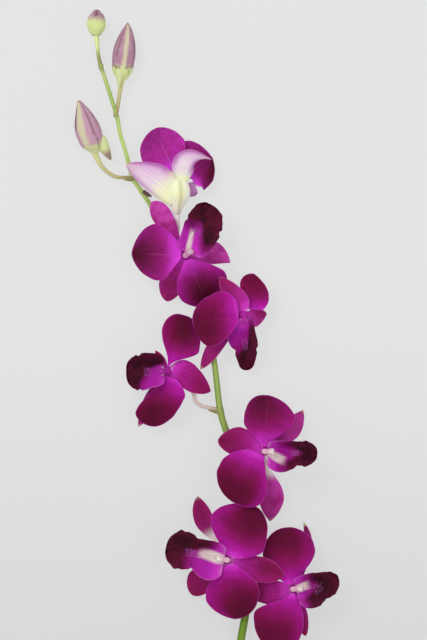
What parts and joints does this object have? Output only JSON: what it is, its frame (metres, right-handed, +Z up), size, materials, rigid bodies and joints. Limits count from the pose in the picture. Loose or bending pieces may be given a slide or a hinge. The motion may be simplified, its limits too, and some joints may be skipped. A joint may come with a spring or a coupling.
{
  "type": "dendrobium orchid stem",
  "caption": "Cut dendrobium orchid stem lying flat: an arched green rachis with magenta-purple open blooms, one half-open bloom and closed buds towards the tip.",
  "frame": {"origin": "centre of the plan box, at the height of the table that the stem lies on", "axes": "+Y along the stem from its cut end to the bud at its tip, +Z up from the table towards the faces of the blooms, +X to the right of someone who looks down on it"},
  "size_m": [0.1528, 0.4546, 0.027],
  "materials": {
    "stem": "waxy green, paler towards the tip",
    "bud": "satin, dusty purple over yellow-green",
    "sepal": "satin magenta with pale base and tip",
    "pale_sepal": "satin, pale pink over a yellow-green chin",
    "petal": "velvety deep magenta-purple",
    "lip": "velvety dark maroon with violet side lobes",
    "column": "waxy pale pink"
  },
  "bodies": {
    "root": {"stem": "stem", "bud_1": "bud", "bud_2": "bud", "bud_3": "bud", "bloom_1_sepals": "sepal", "bloom_1_petal_left": "petal", "bloom_1_petal_right": "petal", "bloom_1_lip": "lip", "bloom_1_column": "column", "bloom_2_sepals": "sepal", "bloom_2_petal_left": "petal", "bloom_2_petal_right": "petal", "bloom_2_lip": "lip", "bloom_2_column": "column", "bloom_3_sepals": "sepal", "bloom_3_petal_left": "petal", "bloom_3_petal_right": "petal", "bloom_3_lip": "lip", "bloom_3_column": "column", "bloom_4_sepals": "sepal", "bloom_4_petal_left": "petal", "bloom_4_petal_right": "petal", "bloom_4_lip": "lip", "bloom_4_column": "column", "bloom_5_sepals": "sepal", "bloom_5_petal_left": "petal", "bloom_5_petal_right": "petal", "bloom_5_lip": "lip", "bloom_5_column": "column", "bloom_6_sepals": "sepal", "bloom_6_petal_left": "petal", "bloom_6_petal_right": "petal", "bloom_6_lip": "lip", "bloom_6_column": "column", "bloom_7_sepals": "pale_sepal", "bloom_7_petal_left": "petal", "bloom_7_petal_right": "petal", "bloom_7_lip": "lip", "bloom_7_column": "column"}
  },
  "joints": []
}
